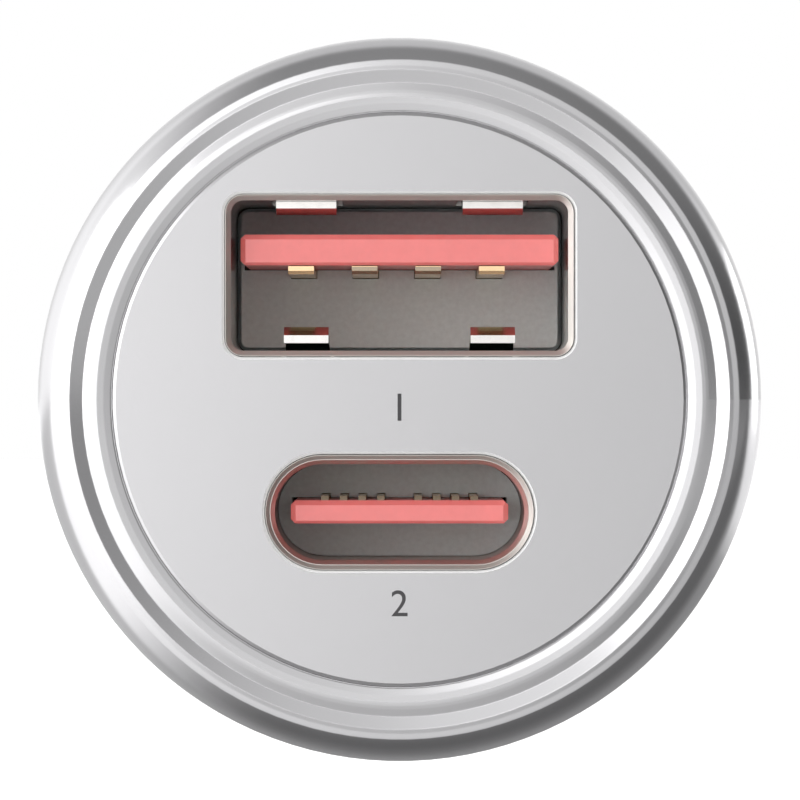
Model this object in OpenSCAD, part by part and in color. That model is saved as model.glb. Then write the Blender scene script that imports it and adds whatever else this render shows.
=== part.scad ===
// Car charger plug with a wide port and an oval port in a stepped round head.
// The plug's axis is Y. The origin is on the axis at the shoulder that stops on the socket's rim.
// The face looks along -Y, the nose along +Y, and +Z is up, on the wide port's side.

/* [Head] */
// Outer diameter of the head
head_d = 26; // [25.6:0.2:30]
// Distance from the shoulder to the front of the face plate
head_depth = 6.4; // [5.8:0.2:9]
// Thickness of the face plate
face_t = 1.4; // [1:0.1:1.8]
// Width of the ledge that the face plate rests on
ledge_w = 0.87; // [0.7:0.01:0.95]
// Radial width of the rounded edge of the head
edge_w = 0.86; // [0.7:0.02:1]
// Radius of the arc that rounds the edge of the head
edge_arc_r = 1.62; // [1.4:0.02:2]
// Width of the flat band inside the rounded edge
band_w = 0.2; // [0.16:0.02:0.36]
// Fall of the flat band towards the rounded edge
band_fall = 0.02; // [0.01:0.01:0.06]
// Width of the bevel inside the flat band
bevel_w = 0.14; // [0.1:0.02:0.2]
// Fall of the bevel inside the flat band
bevel_h = 0.05; // [0.03:0.01:0.08]
// Width of the outer slope of the ring groove
groove_outer_w = 0.46; // [0.36:0.02:0.56]
// Width of the inner slope of the ring groove
groove_inner_w = 0.5; // [0.4:0.02:0.6]
// Depth of the ring groove below the face
groove_depth = 0.12; // [0.08:0.01:0.16]
// Distance that the ring groove's outer edge stands above the face
groove_edge_h = 0.07; // [0.04:0.01:0.1]
// Width of the dished ring inside the groove
dish_w = 0.26; // [0.2:0.02:0.36]
// Rise of the dished ring above the face
dish_h = 0.04; // [0.03:0.01:0.08]
// Width of the lip beside the face plate
lip_w = 0.21; // [0.15:0.01:0.3]
// Bevel on the back edge of the head
back_bevel = 0.5; // [0.3:0.1:0.8]

/* [Barrel] */
// Diameter of the land that guides the plug in the socket
land_d = 20.8; // [20.7:0.05:21]
// Length of that land
land_len = 6.8; // [6:0.2:6.8]
// Diameter of the barrel behind the land
barrel_d = 20.4; // [20.2:0.05:20.45]
// Length of the barrel from the shoulder
barrel_len = 27; // [26:0.2:30]
// Wall of the barrel
barrel_wall = 0.7; // [0.6:0.05:0.75]
// Bevel at the end of the barrel
barrel_bevel = 0.3; // [0.2:0.05:0.4]

/* [Wide port] */
// Width of the wide port's cavity
wide_w = 12.06; // [11.9:0.02:12.2]
// Height of the wide port's cavity
wide_h = 5.38; // [5.2:0.02:5.4]
// Gap between the upper corners of the wide port's shell and the barrel's bore
wide_clearance = 0.15; // [0.1:0.01:0.2]
// Corner radius of the wide port's cavity
wide_corner = 0.45; // [0.35:0.05:0.6]
// Sheet thickness of the wide port's shell
wide_sheet = 0.2; // [0.18:0.01:0.26]
// Length of the wide port's shell
wide_len = 11; // [10:0.2:11]
// Depth of the wide port's cavity
wide_depth = 8.6; // [8.2:0.1:9]
// Gap on each side of the wide port's tongue
wide_tongue_side = 0.33; // [0.25:0.01:0.6]
// Thickness of the wide port's tongue
wide_tongue_t = 1.1; // [1:0.05:1.3]
// Height of the tongue's middle above the middle of the wide cavity
wide_tongue_rise = 0.93; // [0.8:0.01:1]
// Width of one wide port contact
wide_contact_w = 0.92; // [0.8:0.04:1.1]
// Spacing of the wide port contacts
wide_contact_pitch = 2.28; // [2:0.04:2.4]
// Distance that a wide port contact stands below the tongue
wide_contact_t = 0.29; // [0.2:0.01:0.35]
// Distance of the spring fingers from the middle of the port
finger_x = 3.35; // [3:0.05:3.6]
// Width of the upper spring fingers
upper_finger_w = 2.16; // [1.8:0.04:2.4]
// Width of the lower spring fingers
lower_finger_w = 1.6; // [1.4:0.04:2]
// Distance that the upper fingers reach into the cavity
upper_finger_dip = 0.48; // [0.36:0.02:0.54]
// Distance that the lower fingers reach into the cavity
lower_finger_dip = 0.88; // [0.7:0.02:0.9]
// Depth at which the fingers leave the shell
finger_root = 7; // [6:0.2:7.4]

/* [Oval port] */
// Width of the oval port's cavity
oval_w = 8.94; // [8.7:0.02:9]
// Height of the oval port's cavity
oval_h = 3.44; // [3.3:0.02:3.5]
// Distance of the oval port's centre below the axis
oval_drop = 4.03; // [3.95:0.02:4.21]
// Sheet thickness of the oval port's shell
oval_sheet = 0.33; // [0.28:0.01:0.36]
// Length of the oval port's shell
oval_len = 8.2; // [7.8:0.1:8.6]
// Depth of the oval port's cavity
oval_depth = 6; // [5.6:0.1:6.4]
// Gap on each side of the oval port's tongue
oval_tongue_side = 0.57; // [0.45:0.01:0.7]
// Thickness of the oval port's tongue
oval_tongue_t = 0.83; // [0.75:0.02:0.91]
// Width of one oval port contact
oval_contact_w = 0.27; // [0.2:0.01:0.32]
// Spacing of the oval port contacts
oval_contact_pitch = 0.67; // [0.6:0.01:0.68]
// Thickness of one oval port contact
oval_contact_t = 0.2; // [0.16:0.01:0.24]
// Distance that an upper contact of the oval port stands proud of the tongue
oval_contact_proud = 0.16; // [0.1:0.01:0.2]

/* [Board] */
// Thickness of the circuit board
board_t = 1; // [0.8:0.1:1.2]
// Height of the board's upper face above the axis
board_top = 0.3; // [0.2:0.05:0.5]
// Width of the board's front part, under the ports
board_front_w = 16; // [15.6:0.1:16.2]
// Width of the board's rear part
board_rear_w = 11.6; // [11.2:0.1:11.8]
// Width of the board's tail
board_tail_w = 8; // [7:0.2:9]

/* [Ground springs] */
// Width of a ground spring
spring_w = 3.6; // [3:0.1:4]
// Sheet thickness of a ground spring
spring_t = 0.3; // [0.2:0.02:0.34]
// Distance that a ground spring stands proud of the barrel
spring_proud = 0.85; // [0.6:0.05:0.9]
// Length of the bow of a ground spring
spring_bow_len = 13.2; // [12.4:0.2:13.6]
// Gap round a ground spring in its slot
spring_gap = 0.3; // [0.25:0.05:0.4]

/* [Nose] */
// Length of the nose in front of the barrel's end
nose_len = 9; // [8.4:0.2:11]
// Diameter of the nose beside the barrel
nose_d = 20; // [19.6:0.1:20.2]
// Diameter of the nose at its tip
nose_tip_d = 12; // [11:0.2:14]
// Diameter of the tip contact
tip_d = 7; // [6.6:0.1:7.4]
// Distance that the tip contact stands out of the nose
tip_proud = 3.8; // [3.4:0.1:4.4]
// Height of the tip contact's rounded end
tip_dome = 2.2; // [1.6:0.1:2.6]
// Distance that the tip contact can be pressed in
tip_travel = 2.2; // [1.8:0.1:2.4]
// Wall of the tip contact
tip_wall = 0.75; // [0.6:0.05:0.9]
// Wire diameter of the tip spring
wire_d = 0.45; // [0.4:0.02:0.5]
// Number of turns of the tip spring
spring_turns = 9; // [7:1:10]

/* [Fits] */
// Gap between pieces that are assembled and stay still
fit_gap = 0.03; // [0.02:0.01:0.04]
// Radial gap of the sliding tip contact
slide_gap = 0.05; // [0.03:0.01:0.08]

/* [Hidden] */
$fn = 96;
tiny = 0.01;

// Head and barrel, measured along the axis from the shoulder
head_r = head_d / 2;
land_r = land_d / 2;
barrel_r = barrel_d / 2;
bore_r = barrel_r - barrel_wall;
face_y = -head_depth;
face_back_y = face_y + face_t;
face_seat_r = bore_r + ledge_w;
face_r = face_seat_r - fit_gap;
shoulder_bevel = min(back_bevel, (head_r - land_r) / 2);

// The steps of the head's front fill the room between the face plate and the edge
steps_w = lip_w + dish_w + groove_inner_w + groove_outer_w + bevel_w + band_w + edge_w;
steps_fill = (head_r - face_seat_r) / steps_w;
lip_r = face_seat_r + lip_w * steps_fill;
dish_r = lip_r + dish_w * steps_fill;
valley_r = dish_r + groove_inner_w * steps_fill;
bevel_r = valley_r + groove_outer_w * steps_fill;
band_r = bevel_r + bevel_w * steps_fill;
edge_r = band_r + band_w * steps_fill;
bevel_top_y = face_y - groove_edge_h;
band_y = bevel_top_y + bevel_h;
edge_y = band_y + band_fall;
edge_sin = 1 - (head_r - edge_r) / edge_arc_r;
edge_arc_y = edge_y + edge_arc_r * sqrt(1 - edge_sin * edge_sin);

// The wall that falls from the dish into the groove starts with two gentler slopes
ease_w = 0.11;
ease_angles = [6, 14];
ease_1 = [dish_r + ease_w, face_y - dish_h + ease_w * tan(ease_angles[0])];
ease_2 = ease_1 + [ease_w, ease_w * tan(ease_angles[1])];

// The lip's thin inner edge is pressed over the rim of the face plate
lip_over = 0.05;
lip_drop = 0.02;
lip_t = 0.03;
lip_rise = 0.025;
lip_inner_r = face_seat_r - lip_over;
lip_under_y = face_y + lip_drop + lip_t;
plate_rim_y = lip_under_y + fit_gap;
plate_slope_r = lip_inner_r - fit_gap;
plate_slope_w = 0.14;

// Ports
rim_bevel = 0.09;
rim_edge = 0.02;
tongue_depth = 0.8;
tongue_bevel = 0.18;
tongue_under_bevel = 0.1;
tongue_corner = 0.16;
contact_lead = 0.12;
tail_t = 0.22;
leg_w = 1.4;
leg_below = 0.5;
leg_inset = 0.4;
port_block_back = 1.3;

// Wide port: as high above the axis as the barrel's bore lets its upper corners go
wide_contacts = 4;
wide_corner_reach = bore_r - wide_clearance - wide_sheet - wide_corner;
wide_corner_x = wide_w / 2 - wide_corner;
wide_top = sqrt(wide_corner_reach * wide_corner_reach - wide_corner_x * wide_corner_x) + wide_corner;
wide_floor = wide_top - wide_h;
wide_z = wide_top - wide_h / 2;
wide_bevel = wide_sheet - rim_edge;
wide_mouth = [[0, wide_bevel], [wide_bevel, 0]];
wide_tongue_w = wide_w - 2 * wide_tongue_side;
wide_tongue_z = wide_z + wide_tongue_rise;
wide_tongue_under = wide_tongue_z - wide_tongue_t / 2;
wide_contact_depth = 0.9;
wide_contact_shift = -0.11;
wide_back = wide_len + port_block_back;
wide_pad_inset = 0.18;
wide_pad_t = 1.2;
wide_leg_depth = 1.6;
wide_legs = [wide_leg_depth, wide_len - leg_w - leg_inset];
block_foot_inset = 1;
finger_arc_r = 1.37;
finger_lead_angle = 82;
finger_depth = 2;
finger_gap = 0.2;
upper_finger_end = 0.22;
lower_finger_end = 0.32;

// Oval port
oval_contacts = 8;
oval_z = -oval_drop;
oval_bevel = 0.14;
oval_ledge = 0.02;
oval_lead_depth = 0.42;
oval_bevel_x = oval_sheet - rim_edge;
oval_ledge_x = oval_bevel_x - oval_bevel;
oval_mouth = [
    [0, oval_lead_depth], [oval_ledge_x - oval_ledge, oval_bevel], [oval_ledge_x, oval_bevel],
    [oval_bevel_x, 0]
];
oval_contact_depth = 1.1;
oval_tongue_w = oval_w - 2 * oval_tongue_side;
oval_tongue_top = oval_z + oval_tongue_t / 2;
oval_tongue_under = oval_z - oval_tongue_t / 2;
oval_contact_top = oval_tongue_top + oval_contact_proud;
oval_back = oval_len + port_block_back;
oval_leg_depth = 2;
oval_legs = [oval_leg_depth, oval_len - leg_w - leg_inset];
tail_row_gap = 0.2;
mid_plate_t = 0.12;
mid_plate_w = 6;
mid_plate_depth = 1.4;

// Ground springs: each hooks in a terminal at its root and bows out through its slot
terminal_t = 0.3;
terminal_len = 1.8;
terminal_foot = 1.6;
terminal_edge = board_front_w / 2 + fit_gap;
terminal_gap = 0.07;
spring_tab = 1.8;
spring_curl_r = 0.35;
spring_root_inset = 0.2;
spring_root_y = land_len - spring_root_inset;
spring_far_y = spring_root_y + spring_bow_len;
spring_mid_y = (spring_root_y + spring_far_y) / 2;
spring_root_x = terminal_edge + terminal_t + terminal_gap + spring_t / 2;
spring_sagitta = barrel_r + spring_proud - spring_t / 2 - spring_root_x;
spring_half = spring_bow_len / 2;
spring_arc_r = (spring_half * spring_half + spring_sagitta * spring_sagitta) / (2 * spring_sagitta);
slot_inset = 0.6;
slot_corner = 0.6;

// Nose and tip, measured along the axis from the shoulder
nose_y = barrel_len;
nose_end = nose_y + nose_len;
spigot_r = bore_r - fit_gap;
spigot_wall = 1.35;
spigot_full_len = 3.5;
spigot_spring_gap = 0.5;
spigot_room = nose_y - spring_far_y - spring_curl_r - spigot_spring_gap;
spigot_len = min(spigot_full_len, spigot_room);
guide_w = 3.6;
guide_inset = 0.2;
guide_reach = 0.5;
nose_straight = 1.4;
nose_floor_t = 1.2;
floor_y = nose_y + nose_floor_t;
flange_over = 0.8;
flange_t = 1.1;
stop_t = 2.6;
stop_y = nose_end - stop_t;
tip_r = tip_d / 2;
tip_hole_r = tip_r + slide_gap;
flange_r = tip_r + flange_over;
nose_bore_r = flange_r + 2 * slide_gap;
tip_rest_gap = 0.02;
flange_back = stop_y - tip_rest_gap - flange_t;
tip_end = nose_end + tip_proud;
tip_bore_r = tip_r - tip_wall;
tip_bore_inset = 0.6;
tip_bore_end = tip_end - tip_dome - tip_bore_inset;
coil_gap = 0.2;
disc_t = 0.5;
disc_over = 0.7;
disc_r = nose_bore_r + disc_over;
disc_y = floor_y - disc_t;
collar_t = 0.7;
collar_end = flange_back - tip_travel - tip_rest_gap;
tab_w = 3;
tab_len = 2.4;
tab_t = 0.3;

// Board
board_bottom = board_top - board_t;
board_front_gap = 0.4;
board_front_y = face_back_y + board_front_gap;
board_step_inset = 0.2;
board_step_y = spring_root_y - board_step_inset;
board_tail_len = 1.6;
board_tail_y = nose_y - board_tail_len;
leg_hole_gap = 0.1;

// Parts on the board's upper face: the can fills the room between the coil and the tip terminal
coil_r = 4;
coil_h = 5;
coil_flange = 0.9;
coil_waist_r = 2.4;
winding_inset = 0.3;
coil_front_gap = 1.6;
coil_y = face_y + wide_back + tail_t + coil_front_gap + coil_r;
can_r = 3.15;
can_front_gap = 0.5;
can_end_gap = 1.08;
can_y = coil_y + coil_r + can_front_gap;
can_len = disc_y - tab_len - can_end_gap - can_y;
crimp_y = 1;
crimp_w = 0.6;
crimp_depth = 0.35;
lead_d = 0.5;
lead_len = 0.7;
lead_x = 1.2;

// Parts on the board's lower face
chip_w = 5;
chip_len = 4;
chip_h = 1.5;
chip_legs = 4;
chip_front_gap = 3;
chip_y = face_y + oval_back + chip_front_gap;
small_chip_w = 3.6;
small_chip_len = 3;
small_chip_h = 0.9;
small_chip_legs = 3;
chip_gap = 1;
small_chip_y = chip_y + chip_len + chip_gap;
chip_leg = 0.4;
lower_can_r = 2.5;
lower_can_len = 6;
lower_can_gap = 0.8;
lower_can_y = small_chip_y + small_chip_len + lower_can_gap;
side_part_x = 4.6;
fuse_w = 1.6;
fuse_len = 3.2;
fuse_h = 1;
diode_w = 1.8;
diode_len = 3.4;
diode_h = 1.1;
resistor_w = 2.5;
resistor_len = 1.25;
resistor_h = 0.5;
resistor_gap = 0.45;
cap_w = 1.25;
cap_len = 2;
cap_h = 1.2;
cap_side_gap = 0.775;
cap_x = chip_w / 2 + cap_side_gap + cap_w / 2;
cap_front_inset = 0.2;
cap_front_y = chip_y - cap_front_inset;
cap_pitch_y = 3.2;

wide_contact_names = [for (i = [1:wide_contacts]) str("wide_port_contact_", i)];
oval_upper_names = [for (i = [1:oval_contacts]) str("oval_port_upper_contact_", i)];
oval_lower_names = [for (i = [1:oval_contacts]) str("oval_port_lower_contact_", i)];
ceramic_names = [for (i = [1:4]) str("ceramic_capacitor_", i)];

metal = [0.74, 0.73, 0.76];
steel = [0.55, 0.55, 0.56];
coral = [0.95, 0.45, 0.43];
gold = [0.85, 0.66, 0.3];
black = [0.12, 0.12, 0.13];
block_grey = [0.4, 0.39, 0.38];
board_green = [0.1, 0.3, 0.2];
copper = [0.75, 0.42, 0.25];

function arc(c, r, a0, a1, n) =
    [for (i = [0:n]) c + r * [cos(a0 + (a1 - a0) * i / n), sin(a0 + (a1 - a0) * i / n)]];

// A turned form: its outline is drawn as distance from the axis against Y
module turned() {
    rotate([-90, 0, 0]) rotate_extrude() children();
}

// A form of constant section along Y, drawn as X against Z
module along_y(from, to) {
    translate([0, to, 0]) rotate([90, 0, 0]) linear_extrude(height = to - from) children();
}

// A form of constant section along X, drawn as Y against Z
module along_x(from, to) {
    translate([from, 0, 0]) rotate([90, 0, 90]) linear_extrude(height = to - from) children();
}

module block(low, high) {
    translate(low) cube(high - low);
}

module rounded_rect(w, h, r) {
    square([w - 2 * r, h], center = true);
    if (h > 2 * r + tiny) square([w, h - 2 * r], center = true);
    for (x = [-1, 1], z = [-1, 1])
        translate([x * (w / 2 - r), z * (h / 2 - r)]) circle(r);
}

// Carries an outline round a rounded rectangle: outward distance against depth along Y
module swept_round(w, h, r) {
    rotate([-90, 0, 0])
        for (i = [0:3]) {
            across = i % 2 == 0 ? w : h;
            along = i % 2 == 0 ? h : w;
            rotate([0, 0, 90 * i]) {
                translate([across / 2 - r, along / 2 - r, 0])
                    rotate_extrude(angle = 90) translate([r, 0]) children();
                if (along > 2 * r + tiny)
                    translate([across / 2, 0, 0]) rotate([90, 0, 0])
                        linear_extrude(height = along - 2 * r, center = true) children();
            }
        }
}

module housing_outline() {
    polygon([
        [bore_r, face_back_y], [face_seat_r, face_back_y], [face_seat_r, lip_under_y],
        [lip_inner_r, lip_under_y], [lip_inner_r, face_y + lip_drop], [lip_r, face_y - lip_rise],
        [dish_r, face_y - dish_h], ease_1, ease_2, [valley_r, face_y + groove_depth],
        [bevel_r, bevel_top_y], [band_r, band_y], [edge_r, edge_y], [edge_r, edge_arc_y],
        [head_r, edge_arc_y], [head_r, -shoulder_bevel], [head_r - shoulder_bevel, 0],
        [land_r, 0], [land_r, land_len], [barrel_r, land_len],
        [barrel_r, barrel_len - barrel_bevel], [barrel_r - barrel_bevel, barrel_len],
        [bore_r, barrel_len]
    ]);
    intersection() {
        translate([head_r - edge_arc_r, edge_arc_y]) circle(edge_arc_r);
        translate([edge_r, edge_y - 1]) square([head_r - edge_r, edge_arc_y - edge_y + 1]);
    }
}

module spring_slot_outline() {
    length = spring_bow_len - 2 * slot_inset;
    translate([spring_mid_y, 0])
        rounded_rect(length, spring_w + 2 * spring_gap, slot_corner);
}

module housing() {
    color(metal)
        difference() {
            turned() housing_outline();
            along_x(-head_r, head_r) spring_slot_outline();
        }
}

// The opening round a shell of the given cavity and sheet, with a bevelled rim
module port_opening(w, h, r, z, sheet) {
    over = sheet + fit_gap;
    bevel = rim_bevel + tiny;
    translate([0, 0, z]) {
        along_y(face_y - 1, face_back_y + 1) rounded_rect(w + 2 * over, h + 2 * over, r + over);
        swept_round(w + 2 * over, h + 2 * over, r + over)
            polygon([[-tiny, face_y - tiny], [bevel, face_y - tiny], [-tiny, face_y + bevel]]);
    }
}

module face_plate() {
    color(metal)
        difference() {
            turned()
                polygon([
                    [0, face_y], [plate_slope_r - plate_slope_w, face_y],
                    [plate_slope_r, plate_rim_y], [face_r, plate_rim_y],
                    [face_r, face_back_y], [0, face_back_y]
                ]);
            port_opening(wide_w, wide_h, wide_corner, wide_z, wide_sheet);
            port_opening(oval_w, oval_h, oval_h / 2, oval_z, oval_sheet);
        }
}

// A folded shell, flush with the face. Its mouth is bevelled along the given points,
// each a distance from the cavity's wall and a depth.
module port_shell(w, h, r, z, sheet, mouth, length) {
    translate([0, 0, z])
        swept_round(w, h, r)
            polygon(concat(
                [for (p = mouth) [p[0], face_y + p[1]]],
                [[sheet, face_y], [sheet, face_y + length], [0, face_y + length]]
            ));
}

// Angle on a finger's arc at its cut end, which stops the given distance short of the dip
function finger_end_angle(end) = 180 - asin(1 - end / finger_arc_r);

// Outline of a spring finger: depth along Y against distance into the cavity
module finger_outline(dip, end) {
    centre = [face_y + finger_depth, dip - finger_arc_r];
    inner_r = finger_arc_r - wide_sheet;
    end_angle = finger_end_angle(end);
    inner_end_angle = acos(finger_arc_r * cos(end_angle) / inner_r);
    steps = 8;
    polygon(concat(
        arc(centre, finger_arc_r, end_angle, finger_lead_angle, steps),
        [[face_y + finger_root, 0], [face_y + finger_root, -wide_sheet]],
        arc(centre, inner_r, finger_lead_angle, inner_end_angle, steps)
    ));
}

module finger_window(w, end) {
    front = face_y + finger_depth + finger_arc_r * cos(finger_end_angle(end)) - finger_gap;
    half = w / 2 + finger_gap;
    block([-half, front, -2 * wide_sheet], [half, face_y + finger_root, wide_sheet]);
}

module each_finger(side) {
    base = side > 0 ? wide_top : wide_floor;
    for (x = [-finger_x, finger_x])
        translate([x, 0, base]) mirror([0, 0, side > 0 ? 1 : 0]) children();
}

// Pairs of legs in the planes of a shell's sides, at the given depths
module port_legs(w, sheet, depths, low, high) {
    for (x = [-w / 2 - sheet, w / 2], depth = depths)
        block([x, face_y + depth, low], [x + sheet, face_y + depth + leg_w, high]);
}

module wide_port_shell() {
    color(steel)
        union() {
            difference() {
                port_shell(wide_w, wide_h, wide_corner, wide_z, wide_sheet, wide_mouth, wide_len);
                each_finger(1) finger_window(upper_finger_w, upper_finger_end);
                each_finger(-1) finger_window(lower_finger_w, lower_finger_end);
            }
            each_finger(1)
                along_x(-upper_finger_w / 2, upper_finger_w / 2)
                    finger_outline(upper_finger_dip, upper_finger_end);
            each_finger(-1)
                along_x(-lower_finger_w / 2, lower_finger_w / 2)
                    finger_outline(lower_finger_dip, lower_finger_end);
            port_legs(wide_w, wide_sheet, wide_legs, board_bottom - leg_below, wide_floor + wide_corner);
        }
}

function contact_x(i, count, pitch) = (i - (count + 1) / 2) * pitch;

function wide_contact_x(i) = contact_x(i, wide_contacts, wide_contact_pitch) + wide_contact_shift;

// The room that a tongue or a contact needs in a port's back wall
module block_slot(x, w, low, high, back) {
    half = w / 2 + fit_gap;
    block([x - half, face_y, low - fit_gap], [x + half, back + 1, high + fit_gap]);
}

// The wide port's back wall: a pad that stands clear of the shell, and the block behind it
module wide_port_block() {
    gap = fit_gap;
    front = face_y + wide_depth;
    back = face_y + wide_back;
    foot = wide_w / 2 - block_foot_inset;
    contact_low = wide_tongue_under - gap - wide_contact_t;
    color(block_grey)
        difference() {
            union() {
                translate([0, 0, wide_z]) {
                    along_y(front, front + wide_pad_t + tiny)
                        rounded_rect(wide_w - 2 * wide_pad_inset, wide_h - 2 * wide_pad_inset,
                            wide_corner - wide_pad_inset);
                    along_y(front + wide_pad_t, back)
                        rounded_rect(wide_w - 2 * gap, wide_h - 2 * gap, wide_corner - gap);
                }
                block([-foot, face_y + wide_len + gap, board_top], [foot, back, wide_z]);
            }
            block_slot(0, wide_tongue_w, wide_tongue_under, wide_tongue_under + wide_tongue_t, back);
            for (i = [1:wide_contacts])
                block_slot(wide_contact_x(i), wide_contact_w, contact_low, wide_tongue_z, back);
        }
}

// A tongue with bevelled front edges and bevelled corners
module tongue(w, t, z, back) {
    front = face_y + tongue_depth;
    bevel = tongue_bevel;
    under = tongue_under_bevel;
    corner = tongue_corner;
    translate([0, 0, z])
        intersection() {
            along_x(-w / 2, w / 2)
                polygon([
                    [front, under - t / 2], [front, t / 2 - bevel], [front + bevel, t / 2],
                    [back, t / 2], [back, -t / 2], [front + under, -t / 2]
                ]);
            translate([0, 0, -t])
                linear_extrude(height = 2 * t)
                    polygon([
                        [bevel - w / 2, front], [w / 2 - bevel, front], [w / 2, front + bevel],
                        [w / 2, back], [-w / 2, back], [-w / 2, front + bevel]
                    ]);
            along_y(front, back)
                polygon([
                    [corner - w / 2, -t / 2], [w / 2 - corner, -t / 2], [w / 2, corner - t / 2],
                    [w / 2, t / 2 - corner], [w / 2 - corner, t / 2], [corner - w / 2, t / 2],
                    [-w / 2, t / 2 - corner], [-w / 2, corner - t / 2]
                ]);
        }
}

module wide_port_tongue() {
    color(coral) tongue(wide_tongue_w, wide_tongue_t, wide_tongue_z, face_y + wide_back);
}

module wide_port_contact(i) {
    x = wide_contact_x(i);
    front = face_y + wide_contact_depth;
    back = face_y + wide_back + fit_gap;
    high = wide_tongue_under - fit_gap;
    low = high - wide_contact_t;
    color(gold)
        along_x(x - wide_contact_w / 2, x + wide_contact_w / 2)
            polygon([
                [front, high], [front, low + contact_lead], [front + contact_lead, low],
                [back, low], [back, board_top], [back + tail_t, board_top], [back + tail_t, high]
            ]);
}

module oval_port_shell() {
    color(steel)
        union() {
            port_shell(oval_w, oval_h, oval_h / 2, oval_z, oval_sheet, oval_mouth, oval_len);
            port_legs(oval_w, oval_sheet, oval_legs, oval_z, board_top + leg_below);
        }
}

module oval_port_block() {
    gap = fit_gap;
    back = face_y + oval_back;
    foot = oval_w / 2 - oval_h / 2;
    color(block_grey)
        difference() {
            union() {
                translate([0, 0, oval_z])
                    along_y(face_y + oval_depth, back)
                        rounded_rect(oval_w - 2 * gap, oval_h - 2 * gap, oval_h / 2 - gap);
                block([-foot, face_y + oval_len + gap, oval_z], [foot, back, board_bottom]);
            }
            block_slot(0, oval_tongue_w, oval_tongue_under, oval_tongue_top, back);
            for (i = [1:oval_contacts])
                block_slot(oval_contact_x(i), oval_contact_w, oval_z, oval_contact_top, back);
        }
}

module mid_plate(back) {
    block([-mid_plate_w / 2, face_y + mid_plate_depth, oval_z - mid_plate_t / 2],
        [mid_plate_w / 2, back, oval_z + mid_plate_t / 2]);
}

module oval_port_mid_plate() {
    color(steel) mid_plate(face_y + oval_back);
}

// Heights of the lower and upper faces of an oval port contact: those of the upper row
// stand proud of the tongue, and those of the lower row lie flush in its underside
function oval_contact_z(side) =
    side > 0
        ? [oval_contact_top - oval_contact_t, oval_contact_top]
        : [oval_tongue_under, oval_tongue_under + oval_contact_t];

module oval_port_tongue() {
    back = face_y + oval_back;
    color(coral)
        difference() {
            tongue(oval_tongue_w, oval_tongue_t, oval_z, back);
            mid_plate(back + 1);
            for (i = [1:oval_contacts], side = [-1, 1])
                tongue_groove(i, side, back);
        }
}

module tongue_groove(i, side, back) {
    x = oval_contact_x(i);
    z = oval_contact_z(side);
    half = oval_contact_w / 2 + fit_gap;
    inner = side > 0 ? z[0] - fit_gap : z[1] + fit_gap;
    outer = side > 0 ? oval_tongue_top + 1 : oval_tongue_under - 1;
    block([x - half, face_y + oval_contact_depth - fit_gap, min(inner, outer)],
        [x + half, back + 1, max(inner, outer)]);
}

// The two halves of a row stand one spacing apart in the middle
function oval_contact_x(i) =
    contact_x(i, oval_contacts, oval_contact_pitch)
        + (i > oval_contacts / 2 ? 0.5 : -0.5) * oval_contact_pitch;

// A strip in the tongue's upper or lower face, with its tail up to the board
module oval_port_contact(i, side) {
    x = oval_contact_x(i);
    front = face_y + oval_contact_depth;
    lead = contact_lead;
    tail = face_y + oval_back + fit_gap + (side > 0 ? 0 : tail_t + tail_row_gap);
    low = oval_contact_z(side)[0];
    high = oval_contact_z(side)[1];
    color(gold)
        along_x(x - oval_contact_w / 2, x + oval_contact_w / 2)
            polygon([
                [side > 0 ? front : front + lead, low], [tail + tail_t, low],
                [tail + tail_t, board_bottom], [tail, board_bottom], [tail, high],
                [side > 0 ? front + lead : front, high]
            ]);
}

module oval_port_upper_contact(i) {
    oval_port_contact(i, 1);
}

module oval_port_lower_contact(i) {
    oval_port_contact(i, -1);
}

module board_outline() {
    front = board_front_w / 2;
    rear = board_rear_w / 2;
    tail = board_tail_w / 2;
    polygon([
        [-front, board_front_y], [front, board_front_y], [front, board_step_y],
        [rear, board_step_y], [rear, board_tail_y], [tail, board_tail_y], [tail, disc_y],
        [-tail, disc_y], [-tail, board_tail_y], [-rear, board_tail_y],
        [-rear, board_step_y], [-front, board_step_y]
    ]);
}

module leg_holes(w, sheet, depths) {
    gap = leg_hole_gap;
    for (x = [-w / 2 - sheet, w / 2], depth = depths)
        block([x - gap, face_y + depth - gap, board_bottom - 1],
            [x + sheet + gap, face_y + depth + leg_w + gap, board_top + 1]);
}

module circuit_board() {
    color(board_green)
        difference() {
            translate([0, 0, board_bottom]) linear_extrude(height = board_t) board_outline();
            leg_holes(wide_w, wide_sheet, wide_legs);
            leg_holes(oval_w, oval_sheet, oval_legs);
        }
}

module each_side(side) {
    mirror([side < 0 ? 1 : 0, 0, 0]) children();
}

// A bracket with its foot on the board and its upright beside the board's edge
module ground_terminal(side) {
    front = board_step_y - terminal_len;
    outer = terminal_edge + terminal_t;
    color(gold)
        each_side(side) {
            block([terminal_edge, front, -spring_w / 2], [outer, board_step_y, spring_w / 2]);
            block([terminal_edge - terminal_foot, front, board_top],
                [outer, board_step_y, board_top + terminal_t]);
        }
}

module ground_terminal_left() {
    ground_terminal(-1);
}

module ground_terminal_right() {
    ground_terminal(1);
}

// A bowed strip with a straight tab at its root and a curl at its far end, drawn as X against Y
module spring_outline() {
    inner_x = spring_root_x - spring_t / 2;
    centre_x = spring_root_x + spring_sagitta - spring_arc_r;
    intersection() {
        translate([centre_x, spring_mid_y])
            difference() {
                circle(spring_arc_r + spring_t / 2, $fn = 360);
                circle(spring_arc_r - spring_t / 2, $fn = 360);
            }
        translate([inner_x, spring_root_y - 1]) square([spring_sagitta + 1, spring_bow_len + 2]);
    }
    translate([inner_x, spring_root_y - spring_tab]) square([spring_t, spring_tab + tiny]);
    translate([spring_root_x - spring_curl_r + spring_t / 2, spring_far_y]) circle(spring_curl_r);
}

module ground_spring(side) {
    color(steel)
        each_side(side)
            translate([0, 0, -spring_w / 2]) linear_extrude(height = spring_w) spring_outline();
}

module ground_spring_left() {
    ground_spring(-1);
}

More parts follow.
